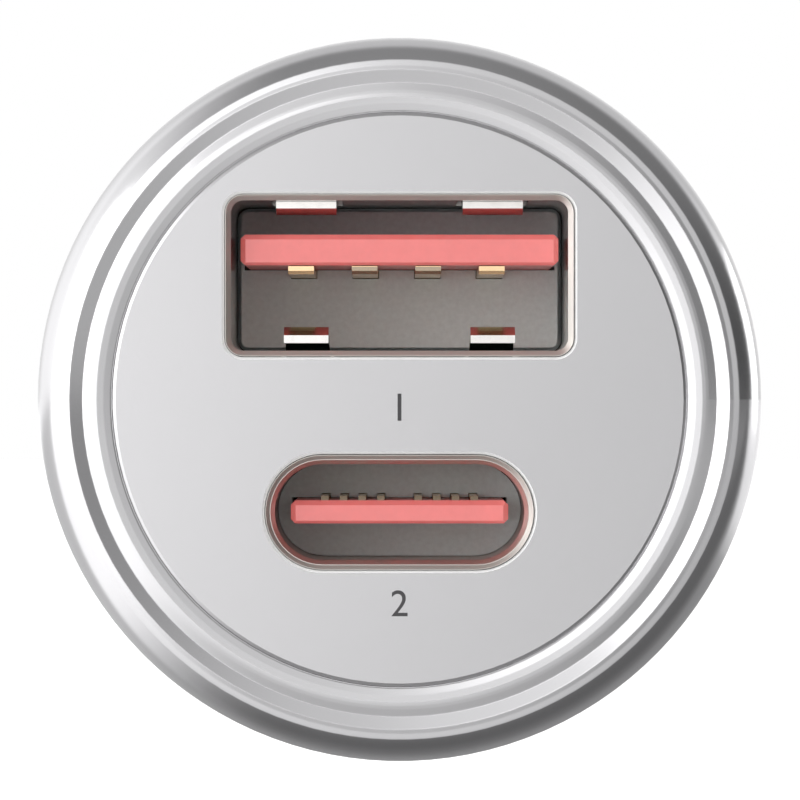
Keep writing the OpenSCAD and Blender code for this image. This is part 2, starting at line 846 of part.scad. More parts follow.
module ground_spring_right() {
    ground_spring(1);
}

module nose_outline() {
    straight_y = nose_y + nose_straight;
    taper_len = nose_end - straight_y;
    taper = (nose_d - nose_tip_d) / 2;
    taper_arc_r = (taper_len * taper_len + taper * taper) / (2 * taper);
    spigot_y = nose_y - spigot_len;
    difference() {
        union() {
            translate([0, nose_y]) square([nose_d / 2, nose_straight]);
            translate([0, spigot_y]) square([spigot_r, spigot_len]);
            intersection() {
                translate([nose_d / 2 - taper_arc_r, straight_y]) circle(taper_arc_r, $fn = 360);
                translate([0, straight_y]) square([nose_d / 2, taper_len]);
            }
        }
        translate([-1, spigot_y - 1]) square([spigot_r - spigot_wall + 1, floor_y - spigot_y + 1]);
        translate([-1, floor_y - 1]) square([nose_bore_r + 1, stop_y - floor_y + 1]);
        translate([-1, stop_y - 1]) square([tip_hole_r + 1, nose_end - stop_y + 2]);
    }
}

// A rib in the spigot that grips one edge of the board
module nose_guide() {
    inner = board_rear_w / 2 - guide_reach;
    front = nose_y - spigot_len;
    difference() {
        intersection() {
            block([inner, front, -guide_w / 2], [spigot_r, nose_y, guide_w / 2]);
            turned() translate([0, front]) square([spigot_r - guide_inset, spigot_len]);
        }
        block([inner - 1, front - 1, board_bottom - fit_gap],
            [board_rear_w / 2 + fit_gap, board_tail_y + fit_gap, board_top + fit_gap]);
    }
}

module nose_cap() {
    color(black)
        union() {
            turned() nose_outline();
            each_side(1) nose_guide();
            each_side(-1) nose_guide();
        }
}

// A disc that closes the nose's bore, with the collar that stops the tip contact and a tab to the board
module tip_terminal() {
    color(gold)
        union() {
            turned() {
                translate([0, disc_y]) square([disc_r, disc_t]);
                translate([tip_bore_r, floor_y - tiny]) square([collar_t, collar_end - floor_y + tiny]);
            }
            block([-tab_w / 2, disc_y - tab_len, board_top], [tab_w / 2, disc_y, board_top + tab_t]);
        }
}

module tip_contact() {
    dome_r = (tip_r * tip_r + tip_dome * tip_dome) / (2 * tip_dome);
    color(gold)
        turned()
            difference() {
                union() {
                    translate([0, flange_back]) square([flange_r, flange_t]);
                    translate([0, flange_back]) square([tip_r, tip_end - tip_dome - flange_back]);
                    intersection() {
                        translate([0, tip_end - dome_r]) circle(dome_r);
                        translate([0, tip_end - tip_dome]) square([tip_r, tip_dome]);
                    }
                }
                translate([-1, flange_back - 1]) square([tip_bore_r + 1, tip_bore_end - flange_back + 1]);
            }
}

// A coil spring with close end turns, as rings of points carried along its helix
module tip_spring() {
    wire_r = wire_d / 2;
    low = floor_y + wire_r + fit_gap;
    high = tip_bore_end - wire_r - fit_gap;
    helix_r = tip_bore_r - wire_r - coil_gap;
    steps_per_turn = 20;
    sides = 8;
    steps = spring_turns * steps_per_turn;
    close = wire_d * 1.05;
    open = (high - low - 2 * close) / (spring_turns - 2);
    function wire_y(turn) =
        turn < 1 ? low + close * turn :
        turn > spring_turns - 1 ? high - close * (spring_turns - turn) :
        low + close + open * (turn - 1);
    points = [
        for (s = [0:steps], k = [0:sides - 1])
            let (
                turn = s / steps_per_turn,
                angle = 360 * turn,
                around = 360 * k / sides,
                r = helix_r + wire_r * cos(around)
            )
            [r * cos(angle), wire_y(turn) + wire_r * sin(around), r * sin(angle)]
    ];
    skin = [
        for (s = [0:steps - 1], k = [0:sides - 1])
            let (a = s * sides + k, b = s * sides + (k + 1) % sides)
            [a, b, b + sides, a + sides]
    ];
    first = [for (k = [0:sides - 1]) sides - 1 - k];
    last = [for (k = [0:sides - 1]) steps * sides + k];
    color(steel) polyhedron(points = points, faces = concat(skin, [first, last]));
}

// A part that stands on the board's upper face, or hangs from its lower face
module on_board(side) {
    translate([0, 0, side > 0 ? board_top : board_bottom]) mirror([0, 0, side > 0 ? 0 : 1]) children();
}

module inductor_core() {
    color(black)
        translate([0, coil_y, 0]) on_board(1)
            rotate_extrude()
                polygon([
                    [0, 0], [coil_r, 0], [coil_r, coil_flange], [coil_waist_r, coil_flange],
                    [coil_waist_r, coil_h - coil_flange], [coil_r, coil_h - coil_flange],
                    [coil_r, coil_h], [0, coil_h]
                ]);
}

module inductor_winding() {
    color(copper)
        translate([0, coil_y, 0]) on_board(1)
            rotate_extrude()
                translate([coil_waist_r, coil_flange])
                    square([coil_r - winding_inset - coil_waist_r, coil_h - 2 * coil_flange]);
}

// A can that lies along Y on the board, with its crimp groove and its two leads
module lying_can(r, length, y) {
    translate([0, y, r]) {
        turned()
            polygon([
                [0, 0], [r, 0], [r, crimp_y], [r - crimp_depth, crimp_y + crimp_w / 2],
                [r, crimp_y + crimp_w], [r, length], [0, length]
            ]);
        for (x = [-lead_x, lead_x])
            translate([x, 0, 0]) block([-lead_d / 2, -lead_len, -r], [lead_d / 2, tiny, lead_d / 2]);
    }
}

module input_capacitor() {
    color(metal) on_board(1) lying_can(can_r, can_len, can_y);
}

module output_capacitor() {
    color(metal) on_board(-1) lying_can(lower_can_r, lower_can_len, lower_can_y);
}

// A chip on the board's lower face, with a row of legs on each side
module chip(w, length, h, y, legs) {
    color(black)
        on_board(-1) translate([-w / 2, y, 0]) cube([w, length, h]);
    color(steel)
        on_board(-1)
            for (x = [-w / 2 - chip_leg, w / 2], i = [1:legs])
                translate([x, y + length / 2 + contact_x(i, legs, length / legs) - chip_leg / 2, 0])
                    cube([chip_leg, chip_leg, h / 2]);
}

module converter_chip() {
    chip(chip_w, chip_len, chip_h, chip_y, chip_legs);
}

module port_controller_chip() {
    chip(small_chip_w, small_chip_len, small_chip_h, small_chip_y, small_chip_legs);
}

// A small two-ended part on the board's lower face
module small_part(x, y, w, length, h) {
    on_board(-1) translate([x - w / 2, y, 0]) cube([w, length, h]);
}

module fuse() {
    color(block_grey) small_part(side_part_x, lower_can_y, fuse_w, fuse_len, fuse_h);
}

module surge_diode() {
    color(black) small_part(-side_part_x, lower_can_y, diode_w, diode_len, diode_h);
}

module sense_resistor() {
    color(black)
        small_part(0, chip_y - resistor_gap - resistor_len, resistor_w, resistor_len, resistor_h);
}

module ceramic_capacitor(i) {
    x = i % 2 == 0 ? cap_x : -cap_x;
    y = i > 2 ? cap_front_y + cap_pitch_y : cap_front_y;
    color(copper) small_part(x, y, cap_w, cap_len, cap_h);
}

housing();
face_plate();
wide_port_shell();
wide_port_block();
wide_port_tongue();
for (i = [1:wide_contacts])
    wide_port_contact(i);
oval_port_shell();
oval_port_block();
oval_port_tongue();
oval_port_mid_plate();
for (i = [1:oval_contacts])
    oval_port_upper_contact(i);
for (i = [1:oval_contacts])
    oval_port_lower_contact(i);
circuit_board();
ground_terminal_left();
ground_terminal_right();
ground_spring_left();
ground_spring_right();
nose_cap();
tip_terminal();
tip_spring();
tip_contact();
inductor_core();
inductor_winding();
input_capacitor();
output_capacitor();
converter_chip();
port_controller_chip();
fuse();
surge_diode();
sense_resistor();
for (i = [1:4])
    ceramic_capacitor(i);
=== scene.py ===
import math

import bpy
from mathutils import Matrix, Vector


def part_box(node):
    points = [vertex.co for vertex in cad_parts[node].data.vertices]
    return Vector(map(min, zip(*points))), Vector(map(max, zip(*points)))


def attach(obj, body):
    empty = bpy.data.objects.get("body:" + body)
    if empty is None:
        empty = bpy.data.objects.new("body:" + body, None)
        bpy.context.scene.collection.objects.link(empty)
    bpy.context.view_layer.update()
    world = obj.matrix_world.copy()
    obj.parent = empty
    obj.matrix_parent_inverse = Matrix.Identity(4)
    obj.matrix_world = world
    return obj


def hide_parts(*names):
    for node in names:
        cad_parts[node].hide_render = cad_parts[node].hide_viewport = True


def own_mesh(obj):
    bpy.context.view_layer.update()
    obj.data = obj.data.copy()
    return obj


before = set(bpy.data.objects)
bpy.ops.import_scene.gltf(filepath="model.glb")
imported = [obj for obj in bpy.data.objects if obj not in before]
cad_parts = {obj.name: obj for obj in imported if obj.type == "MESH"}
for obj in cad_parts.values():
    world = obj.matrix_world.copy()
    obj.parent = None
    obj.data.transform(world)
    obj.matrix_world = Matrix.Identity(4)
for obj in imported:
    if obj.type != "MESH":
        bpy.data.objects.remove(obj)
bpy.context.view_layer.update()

# Camera: on the plug's axis, square to its face, as far off as the photograph's perspective needs.
# The face's middle lies half a pixel up and left of the frame's middle.
FACE_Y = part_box("face_plate")[0].y
CAMERA_DISTANCE = 0.235
HALF_VIEW_AT_FACE = 0.01429
SENSOR_MM = 36.0
HALF_PIXEL = 0.5 / 800

camera_data = bpy.data.cameras.new("camera")
camera_data.sensor_width = SENSOR_MM
camera_data.lens = SENSOR_MM / 2 * CAMERA_DISTANCE / HALF_VIEW_AT_FACE
camera_data.shift_x = HALF_PIXEL
camera_data.shift_y = -HALF_PIXEL
camera_data.clip_start = 0.01
camera = bpy.data.objects.new("camera", camera_data)
camera.location = (0, FACE_Y - CAMERA_DISTANCE, 0)
camera.rotation_euler = (math.radians(90), 0, 0)
bpy.context.scene.collection.objects.link(camera)
bpy.context.scene.camera = camera
bpy.context.scene.view_settings.view_transform = "Standard"


# Housing and face plate: one turned and one stamped piece of aluminium, anodised silver.
# The housing keeps its turning marks, and its edges are broken. The plate is blasted fine, and the
# bevels round its two openings are painted white, rough and not metallic: a painted highlight.
HOUSING_SILVER = (0.605, 0.6, 0.612, 1)
PLATE_SILVER = (0.555, 0.55, 0.561, 1)
# White painted on the openings' bevels: a painted highlight.
PAINTED_HIGHLIGHT_WHITE = (1, 1, 1, 1)
OPENINGS_R = 0.0099
BLAST_DEPTH = 0.0000012
RING_DEPTH = 0.0000012
TURNED_EDGE_R = 0.00007


def start_material(name, colour, metallic, roughness):
    """A new material with its nodes, its shader and its Object coordinates."""
    material = bpy.data.materials.new(name)
    material.use_nodes = True
    nodes = material.node_tree.nodes
    links = material.node_tree.links
    shader = nodes["Principled BSDF"]
    shader.inputs["Base Color"].default_value = colour
    shader.inputs["Metallic"].default_value = metallic
    shader.inputs["Roughness"].default_value = roughness
    place = nodes.new("ShaderNodeTexCoord").outputs["Object"]
    return material, nodes, links, shader, place


def stretch(nodes, links, place, scale):
    """Coordinates scaled by a different amount on each axis."""
    mapping = nodes.new("ShaderNodeMapping")
    mapping.inputs["Scale"].default_value = scale
    links.new(place, mapping.inputs["Vector"])
    return mapping.outputs["Vector"]


def grain(nodes, links, place, scale, detail):
    """Fine noise, as its value from 0 to 1."""
    noise = nodes.new("ShaderNodeTexNoise")
    noise.inputs["Scale"].default_value = scale
    noise.inputs["Detail"].default_value = detail
    links.new(place, noise.inputs["Vector"])
    return noise.outputs["Fac"]


def spread(nodes, links, value, low, high):
    """A value from 0 to 1 spread from low to high."""
    span = nodes.new("ShaderNodeMapRange")
    span.inputs["To Min"].default_value = low
    span.inputs["To Max"].default_value = high
    links.new(value, span.inputs["Value"])
    return span.outputs["Result"]


def tint(nodes, links, value, dark, light):
    """A value as a colour between two. Most noise lies between the two stops."""
    ramp = nodes.new("ShaderNodeValToRGB")
    for stop, position, colour in zip(ramp.color_ramp.elements, (0.3, 0.7), (dark, light)):
        stop.position = position
        stop.color = colour
    links.new(value, ramp.inputs["Fac"])
    return ramp.outputs["Color"]


def press(nodes, links, shader, height, depth, strength, edge_r=0.0):
    """Relief from a height value, as deep as given in metres, on edges softened by a radius."""
    bump = nodes.new("ShaderNodeBump")
    bump.inputs["Distance"].default_value = depth
    bump.inputs["Strength"].default_value = strength
    if edge_r > 0:
        soft_edge = nodes.new("ShaderNodeBevel")
        soft_edge.samples = 8
        soft_edge.inputs["Radius"].default_value = edge_r
        links.new(soft_edge.outputs["Normal"], bump.inputs["Normal"])
    links.new(height, bump.inputs["Height"])
    links.new(bump.outputs["Normal"], shader.inputs["Normal"])


def dress(material, slot, *names):
    """Gives a material to CAD nodes."""
    for name in names:
        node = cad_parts[name]
        node.data.materials.clear()
        node.data.materials.append(material)


def shade(colour, share):
    """A share of a colour, still opaque."""
    return (colour[0] * share, colour[1] * share, colour[2] * share, 1)


def split(nodes, links, vector):
    """The X, Y and Z of a vector."""
    parts = nodes.new("ShaderNodeSeparateXYZ")
    links.new(vector, parts.inputs["Vector"])
    return parts.outputs


def combine(nodes, links, operation, first, second):
    """Two values, each a number or a socket, put together by one operation."""
    result = nodes.new("ShaderNodeMath")
    result.operation = operation
    for socket, value in zip(result.inputs, (first, second)):
        if isinstance(value, (int, float)):
            socket.default_value = value
        else:
            links.new(value, socket)
    return result.outputs["Value"]


def distance(nodes, links, first, second):
    """How far a point is from an axis, from its places along the other two."""
    squares = [combine(nodes, links, "POWER", side, 2) for side in (first, second)]
    return combine(nodes, links, "POWER", combine(nodes, links, "ADD", *squares), 0.5)


def slope(nodes, links, value, start, end, first, last):
    """A value that changes smoothly from first to last between two places."""
    change = nodes.new("ShaderNodeMapRange")
    change.interpolation_type = "SMOOTHSTEP"
    change.inputs["From Min"].default_value = start
    change.inputs["From Max"].default_value = end
    for socket, strength in (("To Min", first), ("To Max", last)):
        if isinstance(strength, (int, float)):
            change.inputs[socket].default_value = strength
        else:
            links.new(strength, change.inputs[socket])
    links.new(value, change.inputs["Value"])
    return change.outputs["Result"]


satin, nodes, links, shader, place = start_material("satin_silver", PLATE_SILVER, 1.0, 0.3)
spot = split(nodes, links, place)
facing = split(nodes, links, nodes["Texture Coordinate"].outputs["Normal"])["Y"]
off_face = slope(nodes, links, facing, -0.97, -0.85, 0.0, 1.0)
from_axis = distance(nodes, links, spot["X"], spot["Z"])
in_reach = slope(nodes, links, from_axis, OPENINGS_R, OPENINGS_R + 0.0001, 1.0, 0.0)
# The bevels round the openings are painted white, rough and not metallic: a painted highlight.
painted_highlight_bevel = combine(nodes, links, "MULTIPLY", off_face, in_reach)
cloud = grain(nodes, links, place, 260, 2)
blasted = spread(nodes, links, cloud, 0.23, 0.27)
links.new(slope(nodes, links, painted_highlight_bevel, 0.0, 1.0, blasted, 0.5), shader.inputs["Roughness"])
links.new(slope(nodes, links, painted_highlight_bevel, 0.0, 0.5, 1.0, 0.0), shader.inputs["Metallic"])
links.new(tint(nodes, links, painted_highlight_bevel, PLATE_SILVER, PAINTED_HIGHLIGHT_WHITE), shader.inputs["Base Color"])
press(nodes, links, shader, grain(nodes, links, place, 9000, 2), BLAST_DEPTH, 0.5)
dress(satin, "head_metal", "face_plate")

turned, nodes, links, shader, place = start_material("turned_silver", HOUSING_SILVER, 1.0, 0.2)
cloud = grain(nodes, links, place, 260, 2)
links.new(spread(nodes, links, cloud, 0.17, 0.21), shader.inputs["Roughness"])
rings = grain(nodes, links, stretch(nodes, links, place, (20, 16000, 20)), 1, 2)
press(nodes, links, shader, rings, RING_DEPTH, 0.4, TURNED_EDGE_R)
dress(turned, "head_metal", "housing")


# Port shells: thin steel sheet, plated with nickel. The wide one is folded, with spring fingers
# cut from it, and is bright behind its ground mouth, as is the oval port's middle plate.
# The oval shell is drawn, so it is duller.
BRIGHT_NICKEL = (0.9, 0.878, 0.848, 1)
DULL_NICKEL = (0.66, 0.635, 0.6, 1)
GROUND_NICKEL = (0.68, 0.655, 0.62, 1)
GROUND_ROUGHNESS = 0.42
MOUTH_Y = FACE_Y + 0.0003

for name, colour, mouth_colour, smoothest, roughest, shells in (
    ("bright_nickel", BRIGHT_NICKEL, GROUND_NICKEL, 0.13, 0.2,
     ("wide_port_shell", "oval_port_mid_plate")),
    ("drawn_nickel", DULL_NICKEL, shade(DULL_NICKEL, 0.95), 0.3, 0.4, ("oval_port_shell",)),
):
    nickel, nodes, links, shader, place = start_material(name, colour, 1.0, smoothest)
    rolled = grain(nodes, links, stretch(nodes, links, place, (2500, 180, 2500)), 1, 3)
    mouth = slope(nodes, links, split(nodes, links, place)["Y"], MOUTH_Y, MOUTH_Y + 0.0001, 1.0, 0.0)
    inside = spread(nodes, links, rolled, smoothest, roughest)
    links.new(slope(nodes, links, mouth, 0.0, 1.0, inside, GROUND_ROUGHNESS), shader.inputs["Roughness"])
    ground = combine(nodes, links, "MULTIPLY", mouth, 0.5)
    tone_value = combine(nodes, links, "ADD", ground, combine(nodes, links, "MULTIPLY", rolled, 0.6))
    links.new(tint(nodes, links, tone_value, colour, mouth_colour), shader.inputs["Base Color"])
    press(nodes, links, shader, rolled, 0.0000008, 0.3)
    dress(nickel, "port_steel", *shells)


# Back walls of the ports: moulded blocks of grey plastic, with a colour set much paler than the plastic's
# own grey to stand in for light in the deep cavities: partly painted light.
# They carry the tongues and the contacts, and fill the shells behind the cavities.
# The board's fuse has a body of the same plastic.
# Paler than the plastic's own grey: partly painted light.
GREY_PLASTIC_AND_PAINTED_LIGHT = (0.76, 0.85, 0.855, 1)

grey_plastic_and_painted_light, nodes, links, shader, place = start_material("grey_plastic_and_painted_light", GREY_PLASTIC_AND_PAINTED_LIGHT, 0.0, 0.5)
mould = grain(nodes, links, place, 5000, 3)
mottled = tint(nodes, links, mould, shade(GREY_PLASTIC_AND_PAINTED_LIGHT, 0.9), GREY_PLASTIC_AND_PAINTED_LIGHT)
links.new(mottled, shader.inputs["Base Color"])
links.new(spread(nodes, links, mould, 0.42, 0.55), shader.inputs["Roughness"])
press(nodes, links, shader, mould, 0.000002, 0.4)
dress(grey_plastic_and_painted_light, "block_grey", "wide_port_block", "oval_port_block", "fuse")


# Tongues: coral plastic, moulded with bevelled front edges and half gloss.
# Light goes a little way into it.
CORAL = (0.94, 0.2, 0.19, 1)

coral, nodes, links, shader, place = start_material("coral_plastic", CORAL, 0.0, 0.34)
shader.inputs["IOR"].default_value = 1.6
shader.inputs["Specular IOR Level"].default_value = 1.0
shader.inputs["Subsurface Weight"].default_value = 0.25
shader.inputs["Subsurface Radius"].default_value = (0.001, 0.0004, 0.0003)
shader.inputs["Subsurface Scale"].default_value = 0.6
mould = grain(nodes, links, place, 2600, 3)
links.new(tint(nodes, links, mould, shade(CORAL, 0.95), CORAL), shader.inputs["Base Color"])
links.new(spread(nodes, links, mould, 0.3, 0.38), shader.inputs["Roughness"])
press(nodes, links, shader, mould, 0.000002, 0.3)
dress(coral, "tongue_coral", "wide_port_tongue", "oval_port_tongue")


# Contacts, board terminals and the disc behind the tip spring: thin strip, plated with gold.
# The strip keeps fine rolling marks along its length. The front faces of the oval port's contacts
# and of the wide port's middle two are painted dull dark brass below a gold rim: painted shade on
# the wide ones, and a painted dark reflection on the oval ones.
GOLD = (0.95, 0.7, 0.42, 1)
# Dark brass painted on the contacts' front faces: painted shade and a painted dark reflection.
PAINTED_SHADE_BRASS = (0.42, 0.34, 0.25, 1)
RIM = 0.00006

oval_contact_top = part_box("oval_port_upper_contact_1")[1].z
wide_tongue_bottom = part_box("wide_port_tongue")[0].z
plated = ["wide_port_contact_1", "wide_port_contact_4",
          "ground_terminal_left", "ground_terminal_right", "tip_terminal"]
wide_painted_shade = ["wide_port_contact_2", "wide_port_contact_3"]
oval_painted_shade = [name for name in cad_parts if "_contact_" in name and name.startswith("oval_port_")]
for name, rim_z, strips in (
    ("gold_plate", None, plated),
    ("gold_plate_painted_shade_wide", wide_tongue_bottom - RIM, wide_painted_shade),
    ("gold_plate_painted_shade_oval", oval_contact_top - 2 * RIM, oval_painted_shade),
):
    gold, nodes, links, shader, place = start_material(name, GOLD, 1.0, 0.22)
    rolled = grain(nodes, links, stretch(nodes, links, place, (6000, 300, 6000)), 1, 3)
    links.new(spread(nodes, links, rolled, 0.18, 0.28), shader.inputs["Roughness"])
    press(nodes, links, shader, rolled, 0.0000006, 0.3)
    # Front faces below the gold rim are painted dark brass: painted shade and a painted dark reflection.
    if rim_z is not None:
        facing = split(nodes, links, nodes["Texture Coordinate"].outputs["Normal"])["Y"]
        side = slope(nodes, links, facing, -0.65, -0.3, 0.0, 0.75)
        rim = slope(nodes, links, split(nodes, links, place)["Z"], rim_z, rim_z + RIM / 6, 0.0, 0.75)
        tone_value = combine(nodes, links, "ADD", combine(nodes, links, "MAXIMUM", side, rim),
                         combine(nodes, links, "MULTIPLY", rolled, 0.25))
        links.new(tint(nodes, links, tone_value, PAINTED_SHADE_BRASS, GOLD), shader.inputs["Base Color"])
    dress(gold, "contact_gold", *strips)


# Nose: a hollow cap of black heat-proof plastic, pressed into the barrel's end.
# Its mould was spark-eroded, so it has an even matte grain.
NOSE_BLACK = (0.022, 0.022, 0.024, 1)

nose_black, nodes, links, shader, place = start_material("nose_black", NOSE_BLACK, 0.0, 0.48)
spark = grain(nodes, links, place, 4200, 4)
links.new(spread(nodes, links, spark, 0.42, 0.58), shader.inputs["Roughness"])
links.new(tint(nodes, links, spark, shade(NOSE_BLACK, 0.8), NOSE_BLACK), shader.inputs["Base Color"])
press(nodes, links, shader, spark, 0.000006, 0.6)
dress(nose_black, "nose_black", "nose_cap")


# Tip contact: turned from brass and plated with nickel.
# It slides in the nose's bore, and its end is domed and polished by wear.
TIP_NICKEL = (0.7, 0.685, 0.65, 1)

tip_nickel, nodes, links, shader, place = start_material("tip_nickel", TIP_NICKEL, 1.0, 0.2)
rings = grain(nodes, links, stretch(nodes, links, place, (30, 14000, 30)), 1, 2)
wear = grain(nodes, links, place, 900, 4)
links.new(spread(nodes, links, wear, 0.14, 0.3), shader.inputs["Roughness"])
links.new(tint(nodes, links, wear, shade(TIP_NICKEL, 0.9), TIP_NICKEL), shader.inputs["Base Color"])
press(nodes, links, shader, rings, 0.000001, 0.4)
dress(tip_nickel, "tip_brass", "tip_contact")


# Ground springs: bowed strips of hard spring steel that stand proud of the barrel's slots.
# They hook on the terminals at their roots and press on the socket's wall.
SPRING_STEEL = (0.6, 0.595, 0.585, 1)

spring_steel, nodes, links, shader, place = start_material("spring_steel", SPRING_STEEL, 1.0, 0.22)
rolled = grain(nodes, links, stretch(nodes, links, place, (400, 400, 9000)), 1, 3)
links.new(spread(nodes, links, rolled, 0.16, 0.3), shader.inputs["Roughness"])
links.new(tint(nodes, links, rolled, shade(SPRING_STEEL, 0.9), SPRING_STEEL), shader.inputs["Base Color"])
press(nodes, links, shader, rolled, 0.000001, 0.4)
dress(spring_steel, "spring_steel", "ground_spring_left", "ground_spring_right")


# Tip spring: hard-drawn wire wound to nine turns, the first and last of them closed.
# It stands on the terminal's disc and pushes the tip contact outwards.
spring_low, spring_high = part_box("tip_spring")
WIRE_R = 0.000225
WIRE_FACES = 12
TURNS = 9
STEPS_PER_TURN = 32
HELIX_R = spring_high.x - WIRE_R
CLOSED_PITCH = 2.1 * WIRE_R
MERGE_DISTANCE = 0.00001
first_y = spring_low.y + WIRE_R
last_y = spring_high.y - WIRE_R
open_pitch = (last_y - first_y - 2 * CLOSED_PITCH) / (TURNS - 2)

bpy.ops.object.select_all(action="DESELECT")
coils = []
for start_y, turns, pitch in (
    (first_y, 1, CLOSED_PITCH),
    (first_y + CLOSED_PITCH, TURNS - 2, open_pitch),
    (last_y - CLOSED_PITCH, 1, CLOSED_PITCH),
):
    bpy.ops.mesh.primitive_circle_add(
        vertices=WIRE_FACES, radius=WIRE_R, location=(HELIX_R, start_y, 0))
    coil = bpy.context.object
    bpy.ops.object.transform_apply(location=True, rotation=True, scale=True)
    wind = coil.modifiers.new("wind", "SCREW")
    wind.axis = "Y"
    wind.angle = math.radians(360 * turns)
    wind.screw_offset = pitch * turns
    wind.steps = STEPS_PER_TURN * turns
    wind.render_steps = STEPS_PER_TURN * turns
    bpy.ops.object.modifier_apply(modifier=wind.name)
    coils.append(coil)
for coil in coils:
    coil.select_set(True)
bpy.context.view_layer.objects.active = coils[0]
bpy.ops.object.join()
tip_spring = bpy.context.object
tip_spring.name = "tip_spring_coil"
bpy.ops.object.mode_set(mode="EDIT")
bpy.ops.mesh.select_all(action="SELECT")
bpy.ops.mesh.remove_doubles(threshold=MERGE_DISTANCE)
bpy.ops.mesh.select_all(action="DESELECT")
bpy.ops.mesh.select_non_manifold()
bpy.ops.mesh.edge_face_add()
bpy.ops.mesh.select_all(action="SELECT")
bpy.ops.mesh.normals_make_consistent(inside=False)
bpy.ops.object.mode_set(mode="OBJECT")
bpy.ops.object.shade_smooth_by_angle(angle=math.radians(40))

drawn_wire, nodes, links, shader, place = start_material("drawn_wire", SPRING_STEEL, 1.0, 0.24)
draw = grain(nodes, links, place, 3000, 3)
links.new(spread(nodes, links, draw, 0.18, 0.32), shader.inputs["Roughness"])
links.new(tint(nodes, links, draw, shade(SPRING_STEEL, 0.85), SPRING_STEEL), shader.inputs["Base Color"])
tip_spring.data.materials.append(drawn_wire)
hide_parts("tip_spring")
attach(tip_spring, "plug_body")
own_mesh(tip_spring)


# Circuit board: glass laminate under green solder mask.
# It lies along the axis between the two ports and carries all the small parts.
MASK_GREEN = (0.012, 0.075, 0.035, 1)

board_mask, nodes, links, shader, place = start_material("board_mask", MASK_GREEN, 0.0, 0.35)
weave = grain(nodes, links, stretch(nodes, links, place, (3000, 3000, 100)), 1, 2)
links.new(tint(nodes, links, weave, shade(MASK_GREEN, 0.8), MASK_GREEN), shader.inputs["Base Color"])
press(nodes, links, shader, weave, 0.000004, 0.4)
dress(board_mask, "board_green", "circuit_board")


# Chips, the surge diode and the sense resistor: black moulded epoxy.
# The grain is fine and even.
EPOXY = (0.02, 0.02, 0.021, 1)

epoxy, nodes, links, shader, place = start_material("epoxy_black", EPOXY, 0.0, 0.55)
fill = grain(nodes, links, place, 6000, 3)
links.new(spread(nodes, links, fill, 0.5, 0.65), shader.inputs["Roughness"])
links.new(tint(nodes, links, fill, shade(EPOXY, 0.7), EPOXY), shader.inputs["Base Color"])
press(nodes, links, shader, fill, 0.000003, 0.5)
dress(epoxy, "chip_black", "converter_chip", "port_controller_chip", "surge_diode", "sense_resistor")


# Inductor: a sintered ferrite bobbin, and a winding of enamelled copper wire round its waist.
# The turns lie side by side, and show as rings: the wave pattern runs 20 radians over a unit.
FERRITE = (0.05, 0.05, 0.052, 1)
COPPER = (0.62, 0.24, 0.1, 1)
TURN_SPACING = 0.0007
WAVE_RADIANS = 20

ferrite, nodes, links, shader, place = start_material("ferrite", FERRITE, 0.0, 0.6)
sinter = grain(nodes, links, place, 4500, 4)
links.new(tint(nodes, links, sinter, shade(FERRITE, 0.7), FERRITE), shader.inputs["Base Color"])
press(nodes, links, shader, sinter, 0.000008, 0.6)
dress(ferrite, "ferrite", "inductor_core")

copper_turns, nodes, links, shader, place = start_material("copper_turns", COPPER, 1.0, 0.3)
wave = nodes.new("ShaderNodeTexWave")
wave.bands_direction = "Z"
wave.inputs["Scale"].default_value = 2 * math.pi / (WAVE_RADIANS * TURN_SPACING)
links.new(place, wave.inputs["Vector"])
wound = wave.outputs["Fac"]
links.new(tint(nodes, links, wound, shade(COPPER, 0.35), COPPER), shader.inputs["Base Color"])
press(nodes, links, shader, wound, 0.00008, 0.8)
dress(copper_turns, "copper_wire", "inductor_winding")


# Can capacitors: drawn aluminium cans, crimped round their seals.
# The ceramic capacitors beside the chip are small tan blocks.
CAN_METAL = (0.72, 0.72, 0.74, 1)
CERAMIC = (0.42, 0.29, 0.19, 1)

can_metal, nodes, links, shader, place = start_material("can_metal", CAN_METAL, 1.0, 0.3)
drawn = grain(nodes, links, stretch(nodes, links, place, (2500, 160, 2500)), 1, 3)
links.new(spread(nodes, links, drawn, 0.24, 0.38), shader.inputs["Roughness"])
press(nodes, links, shader, drawn, 0.000002, 0.4)
dress(can_metal, "can_metal", "input_capacitor", "output_capacitor")

ceramic, nodes, links, shader, place = start_material("fired_ceramic", CERAMIC, 0.0, 0.45)
fired = grain(nodes, links, place, 5000, 3)
links.new(tint(nodes, links, fired, shade(CERAMIC, 0.8), CERAMIC), shader.inputs["Base Color"])
press(nodes, links, shader, fired, 0.000003, 0.4)
dress(ceramic, "ferrite", *[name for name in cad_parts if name.startswith("ceramic_capacitor_")])


# Printed marks: a plain numeral under each port, in dark grey ink on the face plate.
# Each is a thin layer that stands a hundredth of a millimetre proud.
INK = (0.058, 0.056, 0.06, 1)
INK_T = 0.00001
CAPITAL_SHARE = 0.73

